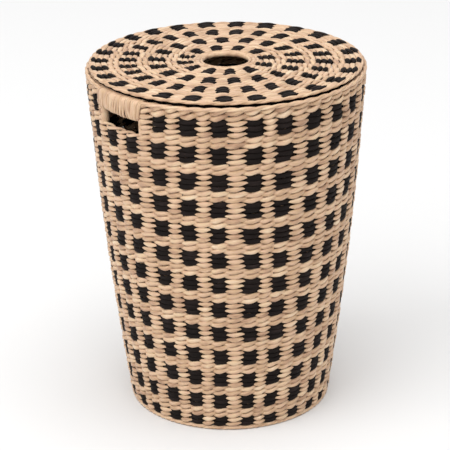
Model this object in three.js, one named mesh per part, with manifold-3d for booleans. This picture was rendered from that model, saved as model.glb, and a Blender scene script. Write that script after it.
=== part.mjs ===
// A round laundry hamper with a lift-off lid: rope twined over a frame of welded steel wire.
// Millimetres, +Z up. The origin is the middle of the footprint, on the floor. The two hand holes
// lie on the X axis, "left" at -X and "right" at +X.
//
// The basket is a wire cage (foot hoop, rim hoop, uprights, base spokes, hand hole rails) inside a
// woven wall, a woven base and bound edges. The lid is a wire wheel inside a woven disc, with a bound
// edge, a bound finger hole in the middle and a lip underneath that keeps it centred in the rim.

import * as THREE from 'three';
import { mergeVertices } from 'three/addons/utils/BufferGeometryUtils.js';
import Module from 'manifold-3d';

const wasm = await Module();
wasm.setup();

// ---- Driving dimensions ----

const BODY_HEIGHT = 580; // floor to the top of the rim
const RIM_RADIUS = 226; // outside of the rim
const FOOT_RADIUS = 170; // outside of the foot
const WALL_CURVE = 1.5; // 1 is a straight cone, more bows the wall outwards
const WALL = 12; // thickness of the woven wall
const GAP = 0.3; // left between pieces that touch

const UPRIGHT_STEP = 20; // degrees between the other uprights
const JAMB_UPRIGHT = 12.4; // degrees from the middle of a hand hole to the upright on each side of it
const WIRE_SIDES = 6;
const HOOP_WIRE = 5; // diameter of the rim, foot and grip wires
const UPRIGHT_WIRE = 4;
const SEGMENTS = 54; // facets round the body

const FOOT_BORDER_TOP = 13;
const FOOT_HOOP_Z = 8.5;
const RIM_BORDER_BASE = 566;
const RIM_HOOP_Z = 572.8;
const RIM_PROUD = 1.5; // how far the rim border stands out from the wall

const BASE_THICKNESS = 10;
const BASE_RADIUS = 157.7;
const FOOT_INNER_RADIUS = 158;
const BASE_RING_RADIUS = 60;
const BASE_SPOKES = 6;

const GRIP_BASE = 545; // underside of the bound grip, the top of the hand hole
const GRIP_PROUD = 1.5; // how far the binding stands out from the wall on each side
const GRIP_RAIL_Z = 551.5;
const SILL_Z = 521; // underside of the hand hole
const BINDING_BASE = 510.5;
const SILL_RAIL_Z = 516;
const HANDLE_HALF_ANGLE = 13.6; // degrees, half of the bound stretch
const HOLE_HALF_ANGLE = 11.2; // degrees, half of the hand hole
const RAIL_HALF_ANGLE = 11.65; // degrees: the rails end against the uprights beside the hole

const LID_RADIUS = 224;
const LID_THICKNESS = 9.7;
const LID_SPOKES = 12;
const LID_WIRE = 4;
const LID_SPOKE_WIRE = 3.4;
const LID_BORDER = 13; // width of the bound edge
const FINGER_HOLE_RADIUS = 37;
const HOLE_BORDER = 11; // width of the binding round the finger hole
const LIP_RADIUS = 208.5; // outside of the lip under the lid
const LIP_WIDTH = 8;
const LIP_DEPTH = 10;

// ---- Sizes worked out from them ----

const LID_BASE = BODY_HEIGHT + GAP;
const LID_TOP = LID_BASE + LID_THICKNESS;
const LID_MIDDLE = LID_BASE + LID_THICKNESS / 2;
const LID_HOOP_RADIUS = LID_RADIUS - 7.5;
const HOLE_HOOP_RADIUS = FINGER_HOLE_RADIUS + 6;
const LIP_HOOP_RADIUS = LIP_RADIUS - LIP_WIDTH / 2;
const LIP_HOOP_Z = BODY_HEIGHT - LIP_DEPTH / 2;
const WIRE_HALF_HEIGHT = Math.cos(Math.PI / 6); // of a six-sided wire standing on a flat, for a radius of 1

const outerRadius = (z) =>
  FOOT_RADIUS + (RIM_RADIUS - FOOT_RADIUS) * (1 - (1 - z / BODY_HEIGHT) ** WALL_CURVE);
const middleRadius = (z) => outerRadius(z) - WALL / 2;
const radians = THREE.MathUtils.degToRad;
const polar = (radius, angle, z) =>
  new THREE.Vector3(radius * Math.cos(angle), radius * Math.sin(angle), z);

// ---- Materials ----

const rope = new THREE.MeshStandardMaterial({ color: 0xd9b286, roughness: 0.75, metalness: 0 });
const steel = new THREE.MeshStandardMaterial({ color: 0x2b2a2a, roughness: 0.5, metalness: 0.6 });

// ---- Solids ----

function toSolid(geometry) {
  const bare = geometry.clone();
  bare.deleteAttribute('normal');
  bare.deleteAttribute('uv');
  const merged = mergeVertices(bare, 1e-3);
  return new wasm.Manifold(
    new wasm.Mesh({
      numProp: 3,
      vertProperties: merged.attributes.position.array,
      triVerts: new Uint32Array(merged.index.array),
    }),
  );
}

function toGeometry(solid) {
  const { vertProperties, triVerts } = solid.getMesh();
  const geometry = new THREE.BufferGeometry();
  geometry.setAttribute('position', new THREE.BufferAttribute(vertProperties, 3));
  geometry.setIndex(new THREE.BufferAttribute(triVerts, 1));
  geometry.computeVertexNormals();
  return geometry;
}

const cut = (solid, tools) => tools.reduce((left, tool) => left.subtract(tool), solid);

// A solid of revolution about Z, from an outline of [radius, z] points drawn anticlockwise.
function turned(outline, segments = SEGMENTS) {
  const closes = outline[0][0] > 0;
  const points = outline.map(([radius, z]) => new THREE.Vector2(radius, z));
  if (closes) points.push(points[0].clone());
  const geometry = new THREE.LatheGeometry(points, segments);
  geometry.rotateX(Math.PI / 2);
  geometry.rotateZ(Math.PI / 2);
  return toSolid(geometry);
}

// A closed hoop of wire about Z.
function hoop(radius, wire, z, segments = SEGMENTS) {
  const geometry = new THREE.TorusGeometry(radius, wire / 2, WIRE_SIDES, segments);
  geometry.translate(0, 0, z);
  return toSolid(geometry);
}

// A length of wire along a smooth line through points.
function wireAlong(points, wire, steps) {
  const section = new THREE.Shape();
  for (let side = 0; side < WIRE_SIDES; side++) {
    const angle = (2 * Math.PI * side) / WIRE_SIDES;
    const x = (wire / 2) * Math.cos(angle);
    const y = (wire / 2) * Math.sin(angle);
    if (side === 0) section.moveTo(x, y);
    else section.lineTo(x, y);
  }
  const extrudePath = new THREE.CatmullRomCurve3(points);
  return toSolid(new THREE.ExtrudeGeometry(section, { steps, extrudePath }));
}

// Everything within halfAngle degrees of the direction at centre degrees, between two heights.
function wedge(centre, halfAngle, low, high) {
  const reach = 2 * RIM_RADIUS;
  const shape = new THREE.Shape();
  shape.moveTo(0, 0);
  for (let step = -3; step <= 3; step++) {
    const angle = radians(centre + (halfAngle * step) / 3);
    shape.lineTo(reach * Math.cos(angle), reach * Math.sin(angle));
  }
  const geometry = new THREE.ExtrudeGeometry(shape, { depth: high - low, bevelEnabled: false });
  geometry.translate(0, 0, low);
  return toSolid(geometry);
}

// The wall's own ring between two heights.
function wallRing(low, high, rows) {
  const heights = Array.from({ length: rows + 1 }, (_, i) => low + ((high - low) * i) / rows);
  const outside = heights.map((z) => [outerRadius(z), z]);
  const inside = heights.reverse().map((z) => [outerRadius(z) - WALL, z]);
  return turned([...outside, ...inside]);
}

// ---- Wires of the basket's frame ----

const bays = Array.from({ length: 7 }, (_, i) => 30 + UPRIGHT_STEP * i);
const halfTurn = [JAMB_UPRIGHT, ...bays, 180 - JAMB_UPRIGHT];
const uprightAngles = [...halfTurn, ...halfTurn.map((angle) => angle + 180)].map(radians);

function upright(angle, wire, low, high) {
  const steps = 6;
  const points = Array.from({ length: steps + 1 }, (_, i) => {
    const z = low + ((high - low) * i) / steps;
    return polar(middleRadius(z), angle, z);
  });
  return wireAlong(points, wire, steps);
}

const hoopHalfHeight = (HOOP_WIRE / 2) * WIRE_HALF_HEIGHT;
const uprightLow = FOOT_HOOP_Z + hoopHalfHeight + GAP;
const uprightHigh = RIM_HOOP_Z - hoopHalfHeight - GAP;
const uprightTunnels = uprightAngles.map((angle) =>
  upright(angle, UPRIGHT_WIRE + 2 * GAP, uprightLow - 2, uprightHigh + 2),
);

function rail(centre, halfAngle, wire, z) {
  const steps = 6;
  const points = Array.from({ length: steps + 1 }, (_, i) =>
    polar(middleRadius(z), radians(centre + halfAngle * ((2 * i) / steps - 1)), z),
  );
  return wireAlong(points, wire, steps);
}

function baseSpoke(angle, wire, inner, outer) {
  const ends = [polar(inner, angle, FOOT_HOOP_Z), polar(outer, angle, FOOT_HOOP_Z)];
  return wireAlong(ends, wire, 1);
}

const footHoopRadius = middleRadius(FOOT_HOOP_Z);
const baseSpokeAngles = Array.from(
  { length: BASE_SPOKES },
  (_, i) => radians(30 + (360 / BASE_SPOKES) * i),
);
const baseSpokeInner = BASE_RING_RADIUS + UPRIGHT_WIRE / 2 + GAP;
const baseSpokeOuter = footHoopRadius - HOOP_WIRE / 2 - 2 * GAP;
const baseSpokeTunnels = baseSpokeAngles.map((angle) =>
  baseSpoke(angle, UPRIGHT_WIRE + 2 * GAP, BASE_RING_RADIUS, footHoopRadius),
);

// ---- Woven pieces of the basket ----

const handles = [
  { name: 'left', centre: 180 },
  { name: 'right', centre: 0 },
];

function sideWeave() {
  const low = FOOT_BORDER_TOP + GAP;
  const handleSpaces = handles.map(({ centre }) =>
    wedge(centre, HANDLE_HALF_ANGLE + 0.08, BINDING_BASE - GAP, BODY_HEIGHT),
  );
  return cut(wallRing(low, RIM_BORDER_BASE, 5), [...uprightTunnels, ...handleSpaces]);
}

function footBorder() {
  const grooveIn = footHoopRadius - HOOP_WIRE / 2 - GAP;
  const grooveOut = footHoopRadius + HOOP_WIRE / 2 + 2 * GAP;
  const grooveBottom = FOOT_HOOP_Z - hoopHalfHeight - GAP;
  const channel = turned([
    [FOOT_INNER_RADIUS, 0],
    [FOOT_RADIUS - 3, 0],
    [outerRadius(3), 3],
    [outerRadius(FOOT_BORDER_TOP), FOOT_BORDER_TOP],
    [grooveOut, FOOT_BORDER_TOP],
    [grooveOut, grooveBottom],
    [grooveIn, grooveBottom],
    [grooveIn, FOOT_BORDER_TOP],
    [FOOT_INNER_RADIUS, FOOT_BORDER_TOP],
  ]);
  return cut(channel, baseSpokeTunnels);
}

// The border over the rim hoop, in two lengths between the grips.
function rimBorder(side) {
  const low = RIM_BORDER_BASE + GAP;
  const hoopRadius = middleRadius(RIM_HOOP_Z);
  const grooveHalf = HOOP_WIRE / 2 + GAP;
  const grooveTop = RIM_HOOP_Z + hoopHalfHeight + GAP;
  const inner = RIM_RADIUS - WALL;
  const channel = turned([
    [outerRadius(low) - WALL, low],
    [hoopRadius - grooveHalf, low],
    [hoopRadius - grooveHalf, grooveTop],
    [hoopRadius + grooveHalf, grooveTop],
    [hoopRadius + grooveHalf, low],
    [outerRadius(low), low],
    [RIM_RADIUS + RIM_PROUD, BODY_HEIGHT - 6],
    [RIM_RADIUS + RIM_PROUD, BODY_HEIGHT - 3],
    [RIM_RADIUS + RIM_PROUD - 3, BODY_HEIGHT],
    [inner + 3, BODY_HEIGHT],
    [inner, BODY_HEIGHT - 3],
  ]);
  return channel.intersect(wedge(side, 90 - HANDLE_HALF_ANGLE - 0.08, 0, LID_TOP));
}

function gripWrap(centre) {
  const inner = outerRadius(GRIP_BASE) - WALL - GRIP_PROUD;
  const outer = RIM_RADIUS + GRIP_PROUD;
  const round = 4;
  const band = turned([
    [inner + round, GRIP_BASE],
    [outer - round, GRIP_BASE],
    [outer, GRIP_BASE + round],
    [outer, BODY_HEIGHT - round],
    [outer - round, BODY_HEIGHT],
    [inner + round, BODY_HEIGHT],
    [inner, BODY_HEIGHT - round],
    [inner, GRIP_BASE + round],
  ]);
  const tunnels = [
    hoop(middleRadius(RIM_HOOP_Z), HOOP_WIRE + 2 * GAP, RIM_HOOP_Z),
    rail(centre, RAIL_HALF_ANGLE + 0.3, HOOP_WIRE + 2 * GAP, GRIP_RAIL_Z),
    ...uprightTunnels,
  ];
  return cut(band.intersect(wedge(centre, HANDLE_HALF_ANGLE, 0, LID_TOP)), tunnels);
}

// The binding round the sides and the sill of a hand hole.
function openingBinding(centre) {
  const frame = wallRing(BINDING_BASE, GRIP_BASE - GAP, 1).intersect(
    wedge(centre, HANDLE_HALF_ANGLE, 0, LID_TOP),
  );
  const tunnels = [
    wedge(centre, HOLE_HALF_ANGLE, SILL_Z, GRIP_BASE),
    rail(centre, RAIL_HALF_ANGLE + 0.3, UPRIGHT_WIRE + 2 * GAP, SILL_RAIL_Z),
    ...uprightTunnels,
  ];
  return cut(frame, tunnels);
}

function baseWeave() {
  const low = FOOT_HOOP_Z - BASE_THICKNESS / 2;
  const high = FOOT_HOOP_Z + BASE_THICKNESS / 2;
  const disc = turned([[0, low], [BASE_RADIUS, low], [BASE_RADIUS, high], [0, high]]);
  const ringTunnel = hoop(BASE_RING_RADIUS, UPRIGHT_WIRE + 2 * GAP, FOOT_HOOP_Z);
  return cut(disc, [ringTunnel, ...baseSpokeTunnels]);
}

// ---- Lid ----

const lidHoopHalf = LID_WIRE / 2;
const lidHoopHalfHeight = lidHoopHalf * WIRE_HALF_HEIGHT;
const lidGrooveTop = LID_MIDDLE + lidHoopHalfHeight + GAP;
const lidGrooveBottom = LID_MIDDLE - lidHoopHalfHeight - GAP;
const lidSpokeAngles = Array.from(
  { length: LID_SPOKES },
  (_, i) => (2 * Math.PI * (i + 0.5)) / LID_SPOKES,
);

function lidSpoke(angle, wire, inner, outer) {
  return wireAlong([polar(inner, angle, LID_MIDDLE), polar(outer, angle, LID_MIDDLE)], wire, 1);
}

function lidWeave() {
  const inner = FINGER_HOLE_RADIUS + HOLE_BORDER + GAP;
  const outer = LID_RADIUS - LID_BORDER - GAP;
  const disc = turned([[inner, LID_BASE], [outer, LID_BASE], [outer, LID_TOP], [inner, LID_TOP]]);
  const tunnels = lidSpokeAngles.map((angle) =>
    lidSpoke(angle, LID_SPOKE_WIRE + 2 * GAP, inner - 3, outer + 3),
  );
  return cut(disc, tunnels);
}

// The bound edge holds the lid's outer hoop in a groove that opens inwards.
function lidRimBorder() {
  const inner = LID_RADIUS - LID_BORDER;
  const grooveEnd = LID_HOOP_RADIUS + lidHoopHalf + GAP;
  const round = 3;
  return turned([
    [inner, LID_BASE],
    [LID_RADIUS - round, LID_BASE],
    [LID_RADIUS, LID_BASE + round],
    [LID_RADIUS, LID_TOP - round],
    [LID_RADIUS - round, LID_TOP],
    [inner, LID_TOP],
    [inner, lidGrooveTop],
    [grooveEnd, lidGrooveTop],
    [grooveEnd, lidGrooveBottom],
    [inner, lidGrooveBottom],
  ]);
}

// The binding of the finger hole holds the inner hoop in a groove that opens outwards.
function lidHoleBorder() {
  const outer = FINGER_HOLE_RADIUS + HOLE_BORDER;
  const grooveEnd = HOLE_HOOP_RADIUS - lidHoopHalf - GAP;
  const round = 3;
  return turned([
    [FINGER_HOLE_RADIUS + round, LID_BASE],
    [outer, LID_BASE],
    [outer, lidGrooveBottom],
    [grooveEnd, lidGrooveBottom],
    [grooveEnd, lidGrooveTop],
    [outer, lidGrooveTop],
    [outer, LID_TOP],
    [FINGER_HOLE_RADIUS + round, LID_TOP],
    [FINGER_HOLE_RADIUS, LID_TOP - round],
    [FINGER_HOLE_RADIUS, LID_BASE + round],
  ]);
}

function lidLipWrap() {
  const low = BODY_HEIGHT - LIP_DEPTH;
  const inner = LIP_RADIUS - LIP_WIDTH;
  const grooveHalf = lidHoopHalf + GAP;
  const grooveBottom = LIP_HOOP_Z - lidHoopHalfHeight - GAP;
  return turned([
    [inner, low],
    [LIP_RADIUS, low],
    [LIP_RADIUS, BODY_HEIGHT],
    [LIP_HOOP_RADIUS + grooveHalf, BODY_HEIGHT],
    [LIP_HOOP_RADIUS + grooveHalf, grooveBottom],
    [LIP_HOOP_RADIUS - grooveHalf, grooveBottom],
    [LIP_HOOP_RADIUS - grooveHalf, BODY_HEIGHT],
    [inner, BODY_HEIGHT],
  ]);
}

// ---- Assembly ----

const hamper = new THREE.Group();
const basket = new THREE.Group();
const lid = new THREE.Group();
hamper.add(basket, lid);

function add(group, name, solid, material) {
  const mesh = new THREE.Mesh(toGeometry(solid), material);
  mesh.name = name;
  group.add(mesh);
}

const numbered = (name, i) => `${name}_${String(i + 1).padStart(2, '0')}`;

add(basket, 'rim_hoop', hoop(middleRadius(RIM_HOOP_Z), HOOP_WIRE, RIM_HOOP_Z), steel);
add(basket, 'foot_hoop', hoop(footHoopRadius, HOOP_WIRE, FOOT_HOOP_Z), steel);
add(basket, 'base_ring', hoop(BASE_RING_RADIUS, UPRIGHT_WIRE, FOOT_HOOP_Z), steel);
uprightAngles.forEach((angle, i) => {
  const solid = upright(angle, UPRIGHT_WIRE, uprightLow, uprightHigh);
  add(basket, numbered('upright', i), solid, steel);
});
baseSpokeAngles.forEach((angle, i) => {
  const solid = baseSpoke(angle, UPRIGHT_WIRE, baseSpokeInner, baseSpokeOuter);
  add(basket, numbered('base_spoke', i), solid, steel);
});
add(basket, 'side_weave', sideWeave(), rope);
add(basket, 'base_weave', baseWeave(), rope);
add(basket, 'foot_border', footBorder(), rope);
add(basket, 'rim_border_front', rimBorder(-90), rope);
add(basket, 'rim_border_back', rimBorder(90), rope);
handles.forEach(({ name, centre }) => {
  const gripRail = rail(centre, RAIL_HALF_ANGLE, HOOP_WIRE, GRIP_RAIL_Z);
  const sillRail = rail(centre, RAIL_HALF_ANGLE, UPRIGHT_WIRE, SILL_RAIL_Z);
  add(basket, `grip_rail_${name}`, gripRail, steel);
  add(basket, `sill_rail_${name}`, sillRail, steel);
  add(basket, `grip_wrap_${name}`, gripWrap(centre), rope);
  add(basket, `opening_binding_${name}`, openingBinding(centre), rope);
});

add(lid, 'lid_rim_hoop', hoop(LID_HOOP_RADIUS, LID_WIRE, LID_MIDDLE), steel);
add(lid, 'lid_hole_hoop', hoop(HOLE_HOOP_RADIUS, LID_WIRE, LID_MIDDLE), steel);
add(lid, 'lid_lip_hoop', hoop(LIP_HOOP_RADIUS, LID_WIRE, LIP_HOOP_Z), steel);
lidSpokeAngles.forEach((angle, i) => {
  const inner = HOLE_HOOP_RADIUS + lidHoopHalf + GAP;
  const outer = LID_HOOP_RADIUS - lidHoopHalf - 2 * GAP;
  add(lid, numbered('lid_spoke', i), lidSpoke(angle, LID_SPOKE_WIRE, inner, outer), steel);
});
add(lid, 'lid_weave', lidWeave(), rope);
add(lid, 'lid_rim_border', lidRimBorder(), rope);
add(lid, 'lid_hole_border', lidHoleBorder(), rope);
add(lid, 'lid_lip_wrap', lidLipWrap(), rope);

export default hamper;
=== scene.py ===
"""The looks of a round twined laundry hamper with a lift-off lid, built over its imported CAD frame.

Every rope of the weave is modelled: each woven row is two strands that twine round the stakes, one
passing in front of a stake while the other passes behind it. Metres, +Z up, hand holes at -X and +X.
"""

import math

import bpy
import numpy as np
from mathutils import Matrix, Vector


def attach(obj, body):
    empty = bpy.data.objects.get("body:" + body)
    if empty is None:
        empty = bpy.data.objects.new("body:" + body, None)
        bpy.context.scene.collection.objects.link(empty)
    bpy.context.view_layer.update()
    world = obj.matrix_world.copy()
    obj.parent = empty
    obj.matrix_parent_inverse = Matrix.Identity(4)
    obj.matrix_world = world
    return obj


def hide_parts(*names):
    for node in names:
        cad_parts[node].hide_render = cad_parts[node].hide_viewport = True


# ---- Sizes of the CAD model that the weave follows ----

BODY_HEIGHT = 0.580
RIM_RADIUS = 0.226
FOOT_RADIUS = 0.170
WALL_CURVE = 1.5
WALL = 0.012
LID_RADIUS = 0.224
LID_BASE = 0.5803
LID_TOP = 0.590
LID_MIDDLE = (LID_BASE + LID_TOP) / 2
LIP_RADIUS = 0.2045
LIP_HEIGHT = 0.575
FINGER_HOLE_RADIUS = 0.037
BASE_MIDDLE = 0.0085
GRIP_BASE = 0.545
SILL = 0.521
BINDING_BASE = 0.5105
HANDLE_HALF_ANGLE = math.radians(13.6)
HOLE_HALF_ANGLE = math.radians(11.2)

# ---- The weave of the wall ----

STAKES = 54
STAKE_PITCH = 2 * math.pi / STAKES
FIRST_STAKE = math.radians(4.63)
STAKE_BASE = 0.012
STAKE_TOP = 0.570
STAKE_HALF_WIDTH = 0.0040
STAKE_HALF_DEPTH = 0.0010
STAKES_PER_UPRIGHT = 3  # the steel uprights don't stray, so the two don't line up
STAKE_FORWARD = 0.0010  # how far every third stake is moved to the front
STAKE_POINTS = 25
STAKE_SHORTFALL = 0.004  # how far below the sill a stake under a hand hole ends
WALL_ROWS = 65
FIRST_ROW = 0.00306  # the level that the rows are counted up from
ROW_PITCH = 0.008902
PATTERN_ROWS = 5  # three rows with dark stitches, then two plain ones
DARK_ROWS = (0, 1, 2)
FIRST_SPLIT_ROW = 59  # from here up the rows stop at the hand holes
HOLE_MARGIN = math.radians(0.5)
WALL_REACH = 0.0038  # from the middle of the wall to the middle of a strand in front of a stake
WALL_STRAND = 0.0046  # half the height of a full stitch
TOP_STRAND = 0.0041
FOOT_STRAND = 0.0030
FOOT_ROW = 0.0048  # the lowest row, lifted clear of the floor
TOP_ROWS = 2  # the plain rows that end the wall
RIM_FLARE = 0.0035  # how much further out the stitches of the top row stand
FLARE_BASE = 0.480  # where the stitches start to stand out

# ---- How the wall strays from an even one: sizes in radians or metres, starts in radians ----

STRAY_WAVES = ((0.006, 4, 1.0), (0.007, 11, 0.0), (0.005, 17, 0.0))  # size, waves in a turn, start
STRAY_MEAN = 0.026
STRAY_SWING = 0.031
STRAY_START = 2.1
LEAN_MEAN = 0.056
LEAN_SWING = 0.063
LEAN_START = 2.46
SAG_MEAN = 0.0060
SAG_SWING = 0.0065
SAG_START = 4.39
RIPPLE = 0.0016

# ---- How a strand of a row lies: see Row.weave ----

PLAIN_STITCH = {"thin": 0.74, "swing": 0.0021, "shift": 0.0, "overlap": 0.0}
TOP_STITCH = {"thin": 0.72, "swing": 0.0028, "shift": 0.0, "overlap": 0.0}
FOOT_STITCH = {"thin": 0.75, "swing": 0.0006, "shift": 0.0, "overlap": 0.0}
LENS_STITCH = {"thin": 0.14, "swing": 0.0011, "shift": 0.0007, "overlap": 0.26}
DARK_STITCH = {"thin": 1.34, "swing": 0.0005, "shift": -0.0003, "overlap": 0.0}
BASE_STITCH = {"thin": 0.62, "swing": 0.0026, "shift": 0.0, "overlap": 0.0}
LID_PLAIN_STITCH = {"thin": 0.70, "swing": 0.0018, "shift": 0.0, "overlap": 0.0}
LID_LENS_STITCH = {"thin": 1.05, "swing": 0.0010, "shift": -0.0005, "overlap": 0.0}
LID_DARK_STITCH = {"thin": 0.22, "swing": 0.0010, "shift": 0.0006, "overlap": 0.20}
STITCH_ROUNDING = 0.85  # below 1 a stitch keeps its width further from its stake
STITCH_VARIETY = 0.16
STITCH_LEAST = -0.06  # no stitch is thinner than the even one by a larger share than this
STITCH_BULGE = 0.0004
STITCH_SLIP = 0.14  # how far the change of sides strays, in stakes
STITCH_SWAY = 0.0004
STITCH_TONE = 1.0
STRAND_DEPTH = 0.0031  # half its depth where it changes sides
STRAND_FLATTENING = 0.0013  # by which it is flatter in front of a stake and behind one
STRAND_JOIN = 0.12  # the overlap of a dark and a natural strand that follow each other, in stakes
SILL_DROP = 0.0017  # the last row under a hand hole is squeezed down by this
SILL_SQUEEZE = 0.38  # and loses this share of its width
SILL_INSET = 0.02  # the squeeze is full up to this angle from the side of the hole
SILL_FADE = 0.05  # and then fades over this one
SHARP = 0.001  # an angle too small to matter
OPEN_ENDS = (0.05, 0.8)  # the size of an open strand at its end and one point before it
STEPS_PER_STAKE = 6
SIDES = 6

# ---- The weave of the lid ----

LID_ROWS = 18
LID_FIRST_ROW = 0.0567
LID_ROW_PITCH = 0.0094
LID_PATTERN_ROWS = 5  # three rows with dark stitches, then two plain ones
LID_DARK_ROWS = (0, 1, 2)
LID_RING_STAKES = (24, 36, 52, 52)
LID_RING_TURNS = (5.4, 7.2, -1.8, -0.9)  # degrees from the camera's side to a dark patch
LID_RING_STRAY = (4.0, -2.5, 4.8, 4.8)  # half of what the stakes stray by at the back, in degrees
LID_STRAND = 0.0048
LID_REACH = 0.0027
LID_LAST_LIFT = 0.0013  # the outermost row is raised and moved in, beside the edge rope
LID_LAST_INSET = 0.0006
LID_LAST_REACH = 0.0020

# ---- The weave of the base ----

BASE_FIRST_RING = 0.151
BASE_LAST_RING = 0.012
BASE_RING_PITCH = -0.0112
BASE_STAKES = ((0.1, 54), (0.055, 36), (0, 18))  # outside each of these radii, this many stakes
BASE_STRAND = 0.0058
BASE_REACH = 0.0028
BASE_STEPS = 4
COIL_START = 0.001
COIL_END = 0.0115
COIL_HALF_WIDTH = 0.0021
COIL_HALF_DEPTH = 0.0042
COIL_TONE = 0.6

# ---- Ropes, as (radius, height, half thickness, twists in a turn) ----

RIM_OUTER_ROPE = (RIM_RADIUS - 0.0002, BODY_HEIGHT - 0.0043, 0.0036, 27)
RIM_INNER_ROPE = (RIM_RADIUS - 0.0073, BODY_HEIGHT - 0.0080, 0.0034, 60)
FOOT_ROPE = (FOOT_RADIUS - 0.0027, 0.0032, 0.0028, 50)
LID_ROPE = (LID_RADIUS - 0.0031, LID_TOP - 0.0038, 0.0030, 30)
# The lip rope is built in the dark fibre, as painted shade under the lid's edge (see make_lid).
LIP_ROPE = (LIP_RADIUS, LIP_HEIGHT, 0.0046, 70)
PLY = 0.64  # of the rope's thickness
PLY_FULLNESS = 1.08
ROPE_TONE = 0.8
RIM_OVERLAP = 0.03  # the angle by which a rim rope runs into a grip
RIM_RISE = 0.0032  # how far the rim ropes are raised across from their lowest point
RIM_RISE_POWER = 0.7
RIM_LOW_POINT = math.radians(190)

# ---- Plain rings, as (radius, height, half radial thickness, half height) ----

FOOT_RING = (FOOT_RADIUS - 0.0092, 0.0034, 0.0030, 0.0028)
LID_RINGS = (
    (LID_RADIUS - 0.0125, LID_BASE + 0.0024, 0.0028, 0.0022),  # below the outermost row
    (FINGER_HOLE_RADIUS + 0.0026, LID_MIDDLE, 0.0026, 0.0037),
    (FINGER_HOLE_RADIUS + 0.0090, LID_MIDDLE, 0.0046, 0.0036),
    (FINGER_HOLE_RADIUS + 0.0152, LID_MIDDLE, 0.0030, 0.0036),
)
RING_POINTS = 3 * STAKES
RING_VARIETY = 0.07

# ---- The grips and the sides of the hand holes ----

GRIP_TURNS = 17
GRIP_POINTS = 26  # in each turn
GRIP_HALF_HEIGHT = (BODY_HEIGHT - GRIP_BASE) / 2 - 0.0012
GRIP_HALF_RADIAL = WALL / 2 + 0.0005
GRIP_HALF_ANGLE = HANDLE_HALF_ANGLE - 0.006
GRIP_HALF_WIDTH = 0.0038  # of the strand, half-way up
GRIP_SPREAD = 0.0013  # it is wider by this at the top and narrower below
GRIP_HALF_DEPTH = 0.0013
GRIP_FLATTENING = 0.0009
GRIP_VARIETY = 0.22
GRIP_SLANT = 0.012  # the angle by which a turn leans to one side
GRIP_WOBBLE = 0.002
GRIP_SAG = 0.0010  # how unevenly the turns hang at the bottom
GRIP_TILT = 0.0014  # how much lower the bottom is at one end than in the middle
GRIP_SWELL = 0.0004
GRIP_BULGE = 0.0008
JAMB_POINTS = 16
JAMB_MARGIN = 0.004
JAMB_HALF_WIDTH = 0.0046
JAMB_HALF_DEPTH = 0.0068
JAMB_TONE = 0.5

# ---- The camera ----

CAMERA_AZIMUTH = math.radians(-40.7)
CAMERA_ELEVATION = math.radians(21.95)
CAMERA_DISTANCE = 3.2265
CAMERA_AIM_HEIGHT = 0.295
CAMERA_LENS = 153.44
CAMERA_YAW = math.radians(-0.0897)
CAMERA_PITCH = math.radians(0.0575)
CAMERA_ROLL = math.radians(-0.7753)

# ---- Lights, as (azimuth, elevation, distance, size, power) ----

KEY_LIGHT = (-94, 45, 9.0, 7.0, 380)
FILL_LIGHT = (-40, 35, 9.0, 6.0, 130)
TOP_LIGHT = (0, 80, 9.0, 6.0, 310)
WORLD_STRENGTH = 0.76
FLOOR_GREY = 0.755
FLOOR_REACH = 40.0

rng = np.random.default_rng(11)


# ---- Strands ----


class Strands:
    """Strands of one colour, gathered into one mesh."""

    def __init__(self, name):
        self.name = name
        self.points = []
        self.fibre = []
        self.tone = []
        self.quads = []
        self.count = 0

    def add(self, centre, across, out, half_across, half_out, tone, sides=SIDES):
        """A tube of oval section. across and out are its section's axes at each point of centre."""
        angle = np.linspace(0, 2 * np.pi, sides, endpoint=False)
        wide = half_across[:, None] * np.cos(angle)
        deep = half_out[:, None] * np.sin(angle)
        skin = centre[:, None] + across[:, None] * wide[..., None] + out[:, None] * deep[..., None]
        step = np.linalg.norm(np.diff(centre, axis=0), axis=1)
        along = np.concatenate([[0], np.cumsum(step)]) + rng.uniform(0, 50)
        fibre = np.stack([np.repeat(along[:, None], sides, 1), wide, deep], -1)
        rings = len(centre)
        corner = np.arange(rings * sides).reshape(rings, sides)
        ahead = np.roll(corner, -1, axis=1)
        quads = np.stack([corner[:-1], corner[1:], ahead[1:], ahead[:-1]], -1).reshape(-1, 4)
        middle = rings // 2
        travel = centre[middle] - centre[middle - 1]
        if np.dot(travel, np.cross(across[middle], out[middle])) > 0:
            quads = quads[:, ::-1]
        self.points.append(skin.reshape(-1, 3))
        self.fibre.append(fibre.reshape(-1, 3))
        self.tone.append(np.repeat(tone, sides))
        self.quads.append(quads + self.count)
        self.count += rings * sides

    def build(self, material):
        points = np.concatenate(self.points)
        quads = np.concatenate(self.quads)
        mesh = bpy.data.meshes.new(self.name)
        mesh.vertices.add(len(points))
        mesh.vertices.foreach_set("co", points.astype(np.float32).ravel())
        mesh.loops.add(quads.size)
        mesh.loops.foreach_set("vertex_index", quads.astype(np.int32).ravel())
        mesh.polygons.add(len(quads))
        starts = np.arange(0, quads.size, 4, dtype=np.int32)
        mesh.polygons.foreach_set("loop_start", starts)
        mesh.update(calc_edges=True)
        mesh.polygons.foreach_set("use_smooth", np.ones(len(quads), dtype=bool))
        fibre = mesh.attributes.new("fibre", "FLOAT_VECTOR", "POINT")
        fibre.data.foreach_set("vector", np.concatenate(self.fibre).astype(np.float32).ravel())
        tone = mesh.attributes.new("tone", "FLOAT", "POINT")
        tone.data.foreach_set("value", np.concatenate(self.tone).astype(np.float32))
        mesh.validate()
        mesh.materials.append(material)
        piece = bpy.data.objects.new(self.name, mesh)
        bpy.context.scene.collection.objects.link(piece)
        return piece


def around(theta, radius, height):
    """Points at these angles, radii and heights."""
    return np.stack([radius * np.cos(theta), radius * np.sin(theta), height + 0 * theta], -1)


def turned(theta, axis):
    """A direction given as (outward, up), turned to each angle."""
    return np.stack([axis[0] * np.cos(theta), axis[0] * np.sin(theta), axis[1] + 0 * theta], -1)


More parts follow.
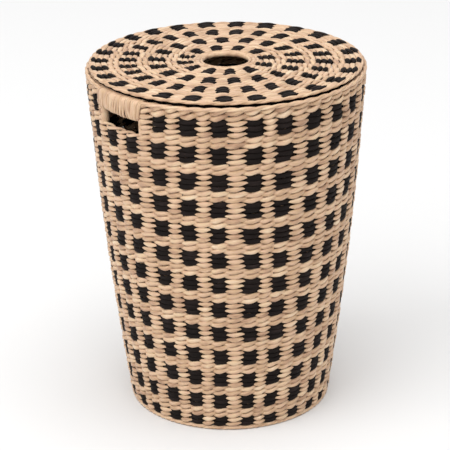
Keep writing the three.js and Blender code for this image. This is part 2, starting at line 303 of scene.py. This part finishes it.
def wavering(count, size):
    """A random function of a position from 0 to count: straight between whole numbers, and closed."""
    knots = rng.uniform(-size, size, count + 1)
    knots[-1] = knots[0]
    return lambda place: np.interp(place % count, np.arange(count + 1), knots)


def tapered(count, closed):
    """Scale of a strand's section along its length: an open strand narrows at its two ends."""
    scale = np.ones(count)
    if not closed:
        scale[[0, 1]] = OPEN_ENDS
        scale[[-1, -2]] = OPEN_ENDS
    return scale


# ---- Twined rows ----


class Row:
    """A row of two twined strands round a ring of stakes. lean is the angle of its face above level."""

    def __init__(self, radius, height, lean, stakes, first, fat, reach):
        self.radius = radius
        self.height = height
        self.out = (math.cos(lean), math.sin(lean))
        self.across = (-math.sin(lean), math.cos(lean))
        self.stakes = stakes
        self.first = first
        self.fat = fat
        self.reach = reach
        self.flare = 0.0
        self.stray = no_change
        self.sink = no_change
        self.pinch = no_change
        self.slip = wavering(stakes, STITCH_SLIP)
        self.sway = wavering(stakes, STITCH_SWAY)

    def weave(self, batch, strand, stitch, start=None, end=None, steps=STEPS_PER_STAKE):
        """Strand 0 is in front at the even stakes, strand 1 at the odd ones.

        A stitch narrows from its stake to "thin" of its width where it changes sides, or widens when
        "thin" is over 1. "swing" is how far it climbs or drops there, "shift" how far the whole strand
        is moved to the front, and "overlap" how far past the change of sides the narrowest place is.
        """
        closed = start is None
        if closed:
            start = 0.5
            end = self.stakes + 0.5
        place = np.linspace(start, end, round((end - start) * steps) + 1)
        turn = np.pi * (place - strand + self.slip(place))
        face = np.cos(turn)
        theta = self.first + place * 2 * np.pi / self.stakes
        theta = theta + self.stray(theta)
        pinch = self.pinch(theta)
        scale = tapered(len(place), closed)
        half_across = self.stitch_width(place, face, stitch) * (1 - SILL_SQUEEZE * pinch)
        half_out = STRAND_DEPTH - STRAND_FLATTENING * np.abs(face)
        outward = self.stitch_reach(place, face, stitch)
        sideways = stitch["swing"] * np.sin(turn) + self.sway(place) + self.sink(theta)
        sideways = sideways - SILL_DROP * pinch
        radius = self.radius + outward * self.out[0] + sideways * self.across[0]
        height = self.height + outward * self.out[1] + sideways * self.across[1]
        batch.add(
            around(theta, radius, height),
            turned(theta, self.across),
            turned(theta, self.out),
            half_across * scale,
            half_out * scale,
            wavering(self.stakes, STITCH_TONE)(place),
        )

    def stitch_width(self, place, face, stitch):
        """Half the strand's width. face is 1 in front of a stake and -1 behind one."""
        fullness = np.abs(face + stitch["overlap"]) / (1 + stitch["overlap"])
        width = stitch["thin"] + (1 - stitch["thin"]) * fullness ** STITCH_ROUNDING
        uneven = 1 + wavering(self.stakes, STITCH_VARIETY)(place).clip(STITCH_LEAST)
        return self.fat * width * uneven

    def stitch_reach(self, place, face, stitch):
        """How far the strand stands in front of the row's middle, or behind it."""
        bulge = wavering(self.stakes, STITCH_BULGE)(place) * np.abs(face)
        return self.reach * face + stitch["shift"] + bulge + self.flare * face.clip(0, 1)


def no_change(theta):
    return 0 * theta


# ---- The wall ----


def stake_stray(theta, height):
    """How far the stakes stray from an even spacing and from upright."""
    near = sum(size * np.sin(waves * theta + start) for size, waves, start in STRAY_WAVES)
    broad = STRAY_MEAN + STRAY_SWING * np.sin(theta + STRAY_START)
    lean = LEAN_MEAN - LEAN_SWING * np.sin(theta + LEAN_START)
    return near + broad + lean * (height / BODY_HEIGHT - 0.5)


def row_sink(theta, height):
    """How far a row runs above level, or below it when negative: nothing at the foot and the rim."""
    span = min(max(height / BODY_HEIGHT, 0), 1)
    sag = SAG_MEAN + SAG_SWING * np.sin(2 * theta + SAG_START)
    ripple = RIPPLE * np.sin(3 * theta + 9 * span) * np.cos(theta - 4 * span)
    return math.sin(math.pi * span) * (ripple - sag)


def outer_radius(height):
    rise = 1 - np.clip(1 - height / BODY_HEIGHT, 0, 1) ** WALL_CURVE
    return FOOT_RADIUS + (RIM_RADIUS - FOOT_RADIUS) * rise


def wall_lean(height):
    """The angle of the wall's outer face, from its slope over a short rise."""
    rise = 0.001
    return -math.atan((outer_radius(height) - outer_radius(height - rise)) / rise)


def beside_handle(theta, half_angle, fade):
    """1 within half_angle of the middle of either hand hole, falling to 0 over the angle fade."""
    away = np.abs((theta + np.pi / 2) % np.pi - np.pi / 2)
    return np.clip((half_angle + fade - away) / fade, 0, 1)


def at_the_sill(theta):
    return beside_handle(theta, HOLE_HALF_ANGLE - SILL_INSET, SILL_FADE)


def split_stretches(height):
    """The first and last place of a row on either side, measured in stakes, between the hand holes."""
    gap = HOLE_HALF_ANGLE + HOLE_MARGIN
    place = np.linspace(-3, STAKES + 3, 10 * STAKES)
    theta = FIRST_STAKE + place * STAKE_PITCH
    theta = theta + stake_stray(theta, height)
    for handle in (0, math.pi):
        yield tuple(np.interp([handle + gap, handle + math.pi - gap], theta, place))


def weave_dark_stretch(row, naturals, darks, start, end):
    """The strand with the dark stitches: it changes to natural before a stitch cut by a hand hole."""
    first_dark = 2 * math.ceil((start - 0.5) / 2) + 0.5
    last_dark = 2 * math.floor((end - 1.5) / 2) + 1.5
    row.weave(darks, 1, DARK_STITCH, first_dark, last_dark)
    row.weave(naturals, 1, LENS_STITCH, start, first_dark + STRAND_JOIN)
    row.weave(naturals, 1, LENS_STITCH, last_dark - STRAND_JOIN, end)


def new_wall_row(number):
    height = FIRST_ROW + ROW_PITCH * number
    fat = WALL_STRAND
    if number == WALL_ROWS - 1:
        fat = TOP_STRAND
    if number == 0:
        fat = FOOT_STRAND
        height = FOOT_ROW
    radius = outer_radius(height) - WALL / 2
    row = Row(radius, height, wall_lean(height), STAKES, FIRST_STAKE, fat, WALL_REACH)
    row.flare = RIM_FLARE * max(0, height - FLARE_BASE) / (BODY_HEIGHT - FLARE_BASE)
    row.stray = lambda theta: stake_stray(theta, height)
    row.sink = lambda theta: row_sink(theta, height)
    if number == FIRST_SPLIT_ROW - 1:
        row.pinch = at_the_sill
    return row


def plain_stitch(number):
    if number == 0:
        return FOOT_STITCH
    if number >= WALL_ROWS - TOP_ROWS:
        return TOP_STITCH
    return PLAIN_STITCH


def make_wall_row(number, naturals, darks):
    """A closed row, or from FIRST_SPLIT_ROW up two stretches between the hand holes."""
    row = new_wall_row(number)
    is_split = number >= FIRST_SPLIT_ROW
    is_dark = number > 0 and number % PATTERN_ROWS in DARK_ROWS
    stretches = split_stretches(row.height) if is_split else [(None, None)]
    for start, end in stretches:
        if not is_dark:
            row.weave(naturals, 0, plain_stitch(number), start, end)
            row.weave(naturals, 1, plain_stitch(number), start, end)
            continue
        row.weave(naturals, 0, LENS_STITCH, start, end)
        if is_split:
            weave_dark_stretch(row, naturals, darks, start, end)
        else:
            row.weave(darks, 1, DARK_STITCH)


def make_stakes(batch):
    """The flat stakes inside the wall. Every third one lies a little further forward."""
    height = np.linspace(STAKE_BASE, STAKE_TOP, STAKE_POINTS)
    radius = outer_radius(height) - WALL / 2
    wide = np.full(len(height), STAKE_HALF_WIDTH)
    deep = np.full(len(height), STAKE_HALF_DEPTH)
    for stake in range(STAKES):
        forward = STAKE_FORWARD if stake % STAKES_PER_UPRIGHT == 1 else 0.0
        angle = FIRST_STAKE + stake * STAKE_PITCH
        theta = angle + stake_stray(angle, height)
        in_hole = beside_handle(angle + stake_stray(angle, SILL), HOLE_HALF_ANGLE, SHARP) > 0
        keep = height < (SILL - STAKE_SHORTFALL if in_hole else BODY_HEIGHT)
        centre = around(theta, radius + forward, height)[keep]
        across = turned(theta + np.pi / 2, (1, 0))[keep]
        out = turned(theta, (1, 0))[keep]
        batch.add(centre, across, out, wide[keep], deep[keep], 0 * wide[keep])


# ---- Plain strands, ropes and bindings ----


def plain_ring(batch, radius, height, half_radial, half_height):
    """One strand laid along a circle."""
    place = np.arange(RING_POINTS + 1)
    theta = place * 2 * math.pi / RING_POINTS
    uneven = 1 + wavering(RING_POINTS, RING_VARIETY)(place)
    tone = wavering(RING_POINTS, ROPE_TONE)(place * 0.4)
    batch.add(
        around(theta, radius, height),
        turned(theta, (0, 1)),
        turned(theta, (1, 0)),
        half_height * uneven,
        half_radial * uneven,
        tone,
        sides=8,
    )


def rope_ring(batch, radius, height, rope, twists, start=0.0, end=2 * math.pi, rise=no_change):
    """A rope of two plies laid along a circle."""
    whole = end - start >= 2 * math.pi
    steps = max(8 * twists, 4 * STAKES)
    theta = np.linspace(start, end, round(steps * (end - start) / (2 * math.pi)) + 1)
    turn = theta * twists
    ply = rope * PLY
    for side in (0, np.pi):
        out = turned(theta, (1, 0))
        up = turned(theta, (0, 1))
        shift = (rope - ply) * np.cos(turn + side)
        lift = (rope - ply) * np.sin(turn + side)
        centre = around(theta, radius + shift, height + lift + rise(theta))
        size = ply * PLY_FULLNESS * tapered(len(theta), whole)
        tone = wavering(60, ROPE_TONE)(theta * 9)
        batch.add(centre, up, out, size, size, tone)


def rounded_section(half_radial, half_height, count):
    """Evenly spaced points round a section with rounded corners, and their outward directions."""
    turn = np.linspace(0, 2 * np.pi, 721)
    power = 0.6
    x = half_radial * np.sign(np.cos(turn)) * np.abs(np.cos(turn)) ** power
    z = half_height * np.sign(np.sin(turn)) * np.abs(np.sin(turn)) ** power
    length = np.concatenate([[0], np.cumsum(np.hypot(np.diff(x), np.diff(z)))])
    even = np.linspace(0, length[-1], count, endpoint=False)
    x = np.interp(even, length, x)
    z = np.interp(even, length, z)
    slope = np.stack([np.roll(x, -1) - np.roll(x, 1), np.roll(z, -1) - np.roll(z, 1)], -1)
    slope /= np.linalg.norm(slope, axis=1)[:, None]
    return x, z, slope[:, 1], -slope[:, 0]


def make_grip(batch, middle):
    """The strand wound round the rim over a hand hole. It lies close above and gapes below.

    Both its ends are on the inner face of the wall.
    """
    x, z, out_x, out_z = rounded_section(GRIP_HALF_RADIAL, GRIP_HALF_HEIGHT, GRIP_POINTS)
    total = GRIP_TURNS * GRIP_POINTS + 1
    index = (np.arange(total) + GRIP_POINTS // 2) % GRIP_POINTS
    turn = np.arange(total) / GRIP_POINTS
    level = z[index] / GRIP_HALF_HEIGHT
    progress = np.linspace(-1, 1, total)
    theta = middle + progress * GRIP_HALF_ANGLE
    theta = theta + wavering(GRIP_TURNS + 1, GRIP_SLANT)(turn) * level
    theta = theta + wavering(5 * GRIP_TURNS, GRIP_WOBBLE)(turn * 5)
    sag = wavering(GRIP_TURNS + 1, GRIP_SAG)(turn) - GRIP_TILT * progress
    height = (BODY_HEIGHT + GRIP_BASE) / 2 + z[index] + sag * (1 - level) / 2
    swell = GRIP_SWELL + wavering(2 * GRIP_TURNS, GRIP_BULGE)(turn * 2)
    swell = swell + RIM_FLARE * (0.7 + 0.3 * level) * (out_x[index] > 0)
    radius = outer_radius(height) - WALL / 2 + x[index] + swell * out_x[index]
    uneven = 1 + wavering(6 * GRIP_TURNS, GRIP_VARIETY)(turn * 6) * (1.2 - level)
    width = (GRIP_HALF_WIDTH + GRIP_SPREAD * level) * uneven
    out = around(theta, out_x[index], out_z[index])
    size = tapered(total, False)
    batch.add(
        around(theta, radius, height),
        turned(theta + np.pi / 2, (1, 0)),
        out,
        width * size,
        (GRIP_HALF_DEPTH - GRIP_FLATTENING * level) * size,
        wavering(4 * GRIP_TURNS, ROPE_TONE)(turn * 4),
    )


def make_jamb(batch, middle, side):
    """The strand that covers the cut edge of the wall at one side of a hand hole."""
    height = np.linspace(BINDING_BASE + JAMB_MARGIN, BODY_HEIGHT - JAMB_MARGIN, JAMB_POINTS)
    angle = middle + side * (HOLE_HALF_ANGLE + HANDLE_HALF_ANGLE) / 2
    theta = np.full(len(height), angle)
    size = tapered(len(height), False)
    batch.add(
        around(theta, outer_radius(height) - WALL / 2, height),
        turned(theta + np.pi / 2, (1, 0)),
        turned(theta, (1, 0)),
        JAMB_HALF_WIDTH * size,
        JAMB_HALF_DEPTH * size,
        wavering(8, JAMB_TONE)(np.arange(len(height))),
        sides=10,
    )


# ---- The lid and the base ----


def make_lid_rows(naturals, darks):
    toward_camera = CAMERA_AZIMUTH - math.pi / 2
    for number in range(LID_ROWS):
        ring, place = divmod(number, LID_PATTERN_ROWS)
        first = toward_camera + math.radians(LID_RING_TURNS[ring])
        stray = math.radians(LID_RING_STRAY[ring])
        radius = LID_FIRST_ROW + LID_ROW_PITCH * number
        stakes = LID_RING_STAKES[ring]
        row = Row(radius, LID_MIDDLE, math.pi / 2, stakes, first, LID_STRAND, LID_REACH)
        if number == LID_ROWS - 1:
            row.height = LID_MIDDLE + LID_LAST_LIFT
            row.radius = radius - LID_LAST_INSET
            row.reach = LID_LAST_REACH
        row.stray = lambda theta: stray * (1 - np.cos(theta - toward_camera))
        if place in LID_DARK_ROWS:
            row.weave(darks, 0, LID_DARK_STITCH)
            row.weave(naturals, 1, LID_LENS_STITCH)
        else:
            row.weave(naturals, 0, LID_PLAIN_STITCH)
            row.weave(naturals, 1, LID_PLAIN_STITCH)


def make_lid_edges(batch):
    rope_ring(batch, *LID_ROPE)
    for ring in LID_RINGS:
        plain_ring(batch, *ring)


def make_base(batch):
    """Rings of twined rows, closed in the middle by a coil of two and a half turns."""
    for radius in np.arange(BASE_FIRST_RING, BASE_LAST_RING, BASE_RING_PITCH):
        stakes = next(count for limit, count in BASE_STAKES if radius > limit)
        row = Row(radius, BASE_MIDDLE, -math.pi / 2, stakes, 0.0, BASE_STRAND, BASE_REACH)
        row.weave(batch, 0, BASE_STITCH, steps=BASE_STEPS)
        row.weave(batch, 1, BASE_STITCH, steps=BASE_STEPS)
    theta = np.linspace(0, 5 * math.pi, 80)
    coil = np.linspace(COIL_START, COIL_END, len(theta))
    batch.add(
        around(theta, coil, BASE_MIDDLE),
        turned(theta, (1, 0)),
        turned(theta, (0, 1)),
        np.full(len(theta), COIL_HALF_WIDTH),
        np.full(len(theta), COIL_HALF_DEPTH),
        wavering(20, COIL_TONE)(theta),
    )


def rim_rise(theta):
    """How far the rim ropes are raised: not at all at the left grip, and most at the right one."""
    return RIM_RISE * np.abs(np.sin((theta - RIM_LOW_POINT) / 2)) ** RIM_RISE_POWER


def make_rim(batch):
    """A slack rope outside and a tight one inside cover the top of the wall between the grips."""
    for side in (-1, 1):
        start = side * math.pi / 2 - math.pi / 2 + HANDLE_HALF_ANGLE - RIM_OVERLAP
        end = start + math.pi - 2 * HANDLE_HALF_ANGLE + 2 * RIM_OVERLAP
        rope_ring(batch, *RIM_OUTER_ROPE, start, end, rim_rise)
        rope_ring(batch, *RIM_INNER_ROPE, start, end, rim_rise)


def make_foot(batch):
    rope_ring(batch, *FOOT_ROPE)
    plain_ring(batch, *FOOT_RING)


# ---- Materials: the scales are in features per metre along a strand, across it and into it ----

STREAK_SCALE = (55, 900, 900)
CLOUD_SCALE = (35, 120, 120)
RIDGE_SCALE = (70, 1600, 1600)
STREAK_SHARE = 0.7
RIDGE_STRENGTH = 0.7
RIDGE_HEIGHT = 0.0006
SPECKLE_SCALE = (900, 900, 900)  # on the wires, along X, Y and Z
ROUGHNESS_SPREAD = 0.3


def new_material(name):
    material = bpy.data.materials.new(name)
    material.use_nodes = True
    tree = material.node_tree
    tree.nodes.clear()
    output = tree.nodes.new("ShaderNodeOutputMaterial")
    shader = tree.nodes.new("ShaderNodeBsdfPrincipled")
    tree.links.new(shader.outputs["BSDF"], output.inputs["Surface"])
    return material, tree, shader


def attribute(tree, name):
    node = tree.nodes.new("ShaderNodeAttribute")
    node.attribute_name = name
    return node


def stretched_noise(tree, vector, scale, detail):
    """Noise at this many features per metre along each axis of vector."""
    scaled = tree.nodes.new("ShaderNodeVectorMath")
    scaled.operation = "MULTIPLY"
    scaled.inputs[1].default_value = scale
    tree.links.new(vector, scaled.inputs[0])
    noise = tree.nodes.new("ShaderNodeTexNoise")
    noise.inputs["Scale"].default_value = 1
    noise.inputs["Detail"].default_value = detail
    tree.links.new(scaled.outputs["Vector"], noise.inputs["Vector"])
    return noise.outputs["Fac"]


def combine(tree, operation, first, second):
    """A Math node of two sockets or numbers."""
    node = tree.nodes.new("ShaderNodeMath")
    node.operation = operation
    for socket, value in zip(node.inputs, (first, second)):
        if isinstance(value, (int, float)):
            socket.default_value = value
        else:
            tree.links.new(value, socket)
    return node.outputs["Value"]


def ramp(tree, factor, stops):
    node = tree.nodes.new("ShaderNodeValToRGB")
    band = node.color_ramp
    while len(band.elements) < len(stops):
        band.elements.new(0.5)
    for element, (position, colour) in zip(band.elements, stops):
        element.position = position
        element.color = (*colour, 1)
    tree.links.new(factor, node.inputs["Fac"])
    return node.outputs["Color"]


def fibre_material(name, stops, roughness, sheen, variety, gloss):
    """Plant fibre: streaks along each strand, and a different tone from stitch to stitch."""
    material, tree, shader = new_material(name)
    fibre = attribute(tree, "fibre").outputs["Vector"]
    tone = attribute(tree, "tone").outputs["Fac"]
    streak = stretched_noise(tree, fibre, STREAK_SCALE, detail=3)
    cloud = stretched_noise(tree, fibre, CLOUD_SCALE, detail=2)
    mixed = combine(tree, "MULTIPLY", tone, variety)
    mixed = combine(tree, "ADD", mixed, cloud)
    fine = combine(tree, "MULTIPLY", streak, STREAK_SHARE)
    mixed = combine(tree, "ADD", mixed, fine)
    mixed = combine(tree, "SUBTRACT", mixed, STREAK_SHARE / 2)
    tree.links.new(ramp(tree, mixed, stops), shader.inputs["Base Color"])
    rough = combine(tree, "MULTIPLY", streak, ROUGHNESS_SPREAD)
    rough = combine(tree, "ADD", rough, roughness - ROUGHNESS_SPREAD / 2)
    tree.links.new(rough, shader.inputs["Roughness"])
    ridges = stretched_noise(tree, fibre, RIDGE_SCALE, detail=2)
    bump = tree.nodes.new("ShaderNodeBump")
    bump.inputs["Strength"].default_value = RIDGE_STRENGTH
    bump.inputs["Distance"].default_value = RIDGE_HEIGHT
    tree.links.new(ridges, bump.inputs["Height"])
    tree.links.new(bump.outputs["Normal"], shader.inputs["Normal"])
    shader.inputs["Sheen Weight"].default_value = sheen
    shader.inputs["Sheen Roughness"].default_value = 0.5
    shader.inputs["Specular IOR Level"].default_value = gloss
    return material


def natural_fibre():
    """Pale rope of dried plant stems, from brown to straw, with a weak gloss."""
    stops = (
        (0.0, (0.28, 0.150, 0.075)),
        (0.28, (0.47, 0.280, 0.172)),
        (0.42, (0.54, 0.357, 0.200)),
        (0.55, (0.61, 0.388, 0.258)),
        (0.70, (0.65, 0.460, 0.273)),
        (0.85, (0.70, 0.510, 0.355)),
        (1.0, (0.74, 0.590, 0.390)),
    )
    return fibre_material(
        "natural_fibre", stops, roughness=0.58, sheen=0.14, variety=0.26, gloss=0.60
    )


def dark_fibre():
    """The same rope dyed a warm black, and nearly dull. On the lid's lip rope it is painted shade
    instead, standing in for the dark gap under the lid's edge.
    """
    stops = (
        (0.0, (0.005, 0.003, 0.003)),
        (0.45, (0.008, 0.005, 0.004)),
        (0.7, (0.014, 0.009, 0.008)),
        (1.0, (0.031, 0.021, 0.019)),
    )
    return fibre_material(
        "dark_fibre", stops, roughness=0.6, sheen=0.0, variety=0.20, gloss=0.10
    )


def wire_dark_as_shade():
    """Steel wire with a dark coating. Its near-black is also painted shade: it matches the shade
    between strands, so wire showing through gaps in the weave reads as that shade.
    """
    material, tree, shader = new_material("wire_dark_as_shade")
    place = tree.nodes.new("ShaderNodeTexCoord").outputs["Object"]
    speckle = stretched_noise(tree, place, SPECKLE_SCALE, detail=3)
    # Near-black like the shade between strands, so exposed wire passes for painted shade.
    stops = ((0.3, (0.020, 0.018, 0.018)), (0.7, (0.034, 0.031, 0.030)))
    tree.links.new(ramp(tree, speckle, stops), shader.inputs["Base Color"])
    rough = combine(tree, "MULTIPLY", speckle, ROUGHNESS_SPREAD)
    rough = combine(tree, "ADD", rough, 0.3)
    tree.links.new(rough, shader.inputs["Roughness"])
    shader.inputs["Metallic"].default_value = 0.1
    return material


def floor_material():
    material, tree, shader = new_material("floor")
    shader.inputs["Base Color"].default_value = (FLOOR_GREY, FLOOR_GREY, FLOOR_GREY, 1)
    shader.inputs["Roughness"].default_value = 0.9
    shader.inputs["Specular IOR Level"].default_value = 0.1
    return material


# ---- Stage ----


def make_floor():
    mesh = bpy.data.meshes.new("floor")
    far = FLOOR_REACH
    corners = [(-far, -far, 0), (far, -far, 0), (far, far, 0), (-far, far, 0)]
    mesh.from_pydata(corners, [], [(0, 1, 2, 3)])
    mesh.materials.append(floor_material())
    floor = bpy.data.objects.new("floor", mesh)
    bpy.context.scene.collection.objects.link(floor)


def make_light(name, azimuth, elevation, distance, size, power):
    """A square area light aimed at the middle of the hamper. Angles are in degrees, 0 is at -Y."""
    data = bpy.data.lights.new(name, "AREA")
    data.shape = "SQUARE"
    data.size = size
    data.energy = power
    light = bpy.data.objects.new(name, data)
    turn = math.radians(azimuth)
    rise = math.radians(elevation)
    back = Vector(
        (math.sin(turn) * math.cos(rise), -math.cos(turn) * math.cos(rise), math.sin(rise))
    )
    light.location = Vector((0, 0, CAMERA_AIM_HEIGHT)) + back * distance
    light.rotation_mode = "QUATERNION"
    light.rotation_quaternion = (-back).to_track_quat("-Z", "Y")
    bpy.context.scene.collection.objects.link(light)


def make_lights():
    world = bpy.data.worlds.new("studio")
    world.use_nodes = True
    background = world.node_tree.nodes["Background"]
    background.inputs["Color"].default_value = (1.0, 1.0, 1.0, 1)
    background.inputs["Strength"].default_value = WORLD_STRENGTH
    bpy.context.scene.world = world
    make_light("key", *KEY_LIGHT)
    make_light("fill", *FILL_LIGHT)
    make_light("top", *TOP_LIGHT)


def make_camera():
    """The camera faces the aim point, and is then turned by a small yaw, pitch and roll."""
    rise = CAMERA_ELEVATION
    back = Vector((0, -math.cos(rise), math.sin(rise)))
    right = Vector((1, 0, 0))
    up = right.cross(-back)
    forward = (-back + CAMERA_YAW * right + CAMERA_PITCH * up).normalized()
    right = forward.cross(up).normalized()
    up = right.cross(forward)
    rolled_right = math.cos(CAMERA_ROLL) * right + math.sin(CAMERA_ROLL) * up
    rolled_up = math.cos(CAMERA_ROLL) * up - math.sin(CAMERA_ROLL) * right
    pose = Matrix((rolled_right, rolled_up, -forward)).transposed().to_4x4()
    pose.translation = back * CAMERA_DISTANCE + Vector((0, 0, CAMERA_AIM_HEIGHT))
    data = bpy.data.cameras.new("camera")
    data.lens = CAMERA_LENS
    data.sensor_width = 36
    data.clip_start = 0.05
    data.clip_end = 200
    camera = bpy.data.objects.new("camera", data)
    camera.matrix_world = Matrix.Rotation(CAMERA_AZIMUTH, 4, "Z") @ pose
    bpy.context.scene.collection.objects.link(camera)
    bpy.context.scene.camera = camera


# ---- Assembly ----


def finish_piece(batch, material, body, nodes=()):
    piece = batch.build(material)
    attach(piece, body)
    if nodes:
        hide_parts(*nodes)


def make_basket(natural, dark):
    parts = 4
    naturals = [Strands(f"wall_natural_{part + 1}") for part in range(parts)]
    darks = Strands("wall_dark")
    for number in range(WALL_ROWS):
        make_wall_row(number, naturals[number * parts // WALL_ROWS], darks)
    finish_piece(naturals[0], natural, "basket", ["side_weave"])
    for batch in naturals[1:]:
        finish_piece(batch, natural, "basket")
    finish_piece(darks, dark, "basket")
    stakes = Strands("wall_stakes")
    make_stakes(stakes)
    finish_piece(stakes, natural, "basket")
    rim = Strands("rim_edging")
    make_rim(rim)
    finish_piece(rim, natural, "basket", ["rim_border_front", "rim_border_back"])
    foot = Strands("foot_edging")
    make_foot(foot)
    finish_piece(foot, natural, "basket", ["foot_border"])
    base = Strands("base_natural")
    make_base(base)
    finish_piece(base, natural, "basket", ["base_weave"])
    for name, middle in (("left", math.pi), ("right", 0.0)):
        grip = Strands(f"grip_{name}")
        make_grip(grip, middle)
        finish_piece(grip, natural, "basket", [f"grip_wrap_{name}"])
        jambs = Strands(f"hole_edging_{name}")
        make_jamb(jambs, middle, -1)
        make_jamb(jambs, middle, 1)
        finish_piece(jambs, natural, "basket", [f"opening_binding_{name}"])


def make_lid(natural, dark):
    naturals = Strands("lid_natural")
    darks = Strands("lid_dark")
    make_lid_rows(naturals, darks)
    finish_piece(naturals, natural, "lid", ["lid_weave"])
    finish_piece(darks, dark, "lid")
    edges = Strands("lid_edging")
    make_lid_edges(edges)
    finish_piece(edges, natural, "lid", ["lid_rim_border", "lid_hole_border"])
    # The lid's lip rope takes the dark fibre: its black is painted shade for the deep shade seen in the
    # gap under the lid's edge.
    lip = Strands("lid_lip")
    rope_ring(lip, *LIP_ROPE)
    finish_piece(lip, dark, "lid", ["lid_lip_wrap"])


def dress_wires():
    # Every CAD wire is dressed near-black, as painted shade where it shows through the weave.
    wire = wire_dark_as_shade()
    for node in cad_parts.values():
        for slot in node.material_slots:
            slot.material = wire


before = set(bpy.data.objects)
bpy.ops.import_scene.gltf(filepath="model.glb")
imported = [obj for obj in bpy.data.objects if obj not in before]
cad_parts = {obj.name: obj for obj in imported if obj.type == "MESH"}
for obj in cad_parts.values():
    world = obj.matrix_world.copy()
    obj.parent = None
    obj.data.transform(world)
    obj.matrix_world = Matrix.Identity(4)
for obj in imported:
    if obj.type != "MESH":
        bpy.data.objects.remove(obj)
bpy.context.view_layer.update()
bpy.context.scene.view_settings.view_transform = "Standard"

dress_wires()
natural_material = natural_fibre()
dark_material = dark_fibre()
make_basket(natural_material, dark_material)
make_lid(natural_material, dark_material)
make_floor()
make_lights()
make_camera()
